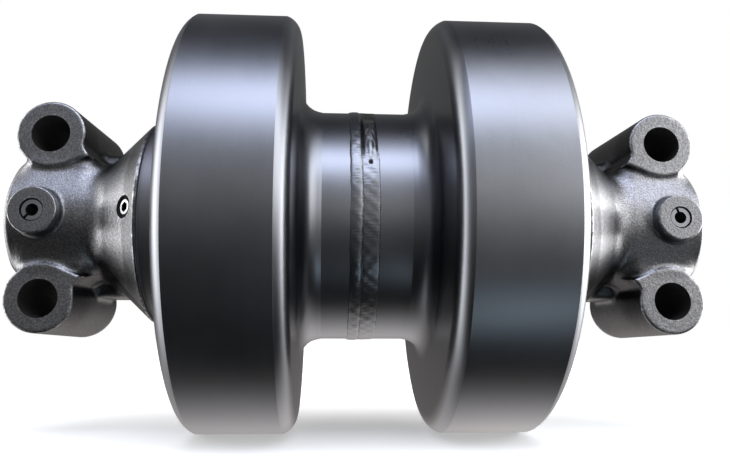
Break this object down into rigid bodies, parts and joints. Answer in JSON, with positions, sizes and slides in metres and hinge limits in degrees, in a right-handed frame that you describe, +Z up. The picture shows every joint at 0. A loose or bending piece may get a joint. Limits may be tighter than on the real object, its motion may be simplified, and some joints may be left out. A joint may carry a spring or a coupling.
{
  "type": "track roller",
  "caption": "Double-tread track roller: plain wheels either side of a welded hub, turning on an axle held in cast bolt-on end collars.",
  "frame": {"origin": "centre of the roller on the axle's axis, halfway between the two wheels", "axes": "+Y along the axle towards the end without the fill plug, +Z up as the roller stands on its treads, +X towards the bolt-head side of the collars, so the machined mounting pads face -X. On a machine the pads face up, so the roller is turned a quarter turn about Y."},
  "size_m": [0.25, 0.409, 0.25],
  "materials": {
    "shell_steel": "satin dark turned steel with faint grain round the axle",
    "weld_metal": "rippled arc weld, shot cleaned",
    "collar_casting": "shot-blasted cast steel with machined pads, holes and register",
    "axle_steel": "ground",
    "spring_steel": "blued spring steel",
    "plug_steel": "bright zinc plated",
    "seal_metal": "lapped",
    "bush_bronze": "machined bronze",
    "seal_rubber": "matt nitrile rubber"
  },
  "bodies": {
    "frame_side": {"axle": "axle_steel", "gallery_plug": "bush_bronze", "collar_left": "collar_casting", "collar_right": "collar_casting", "spring_pin_left": "spring_steel", "spring_pin_right": "spring_steel", "oring_left": "seal_rubber", "oring_right": "seal_rubber", "seal_fixed_left": "seal_metal", "seal_fixed_right": "seal_metal", "toric_fixed_left": "seal_rubber", "toric_fixed_right": "seal_rubber", "fill_plug": "plug_steel", "plug_washer": "seal_rubber"},
    "roller": {"shell_left": "shell_steel", "shell_right": "shell_steel", "weld_bead": "weld_metal", "bush_left": "bush_bronze", "bush_right": "bush_bronze", "seal_rotating_left": "seal_metal", "seal_rotating_right": "seal_metal", "toric_rotating_left": "seal_rubber", "toric_rotating_right": "seal_rubber"}
  },
  "joints": [
    {"name": "roller_spin", "type": "hinge", "parent": "frame_side", "child": "roller", "pos_m": [0, 0, 0], "axis": [0, 1, 0], "continuous": true}
  ]
}
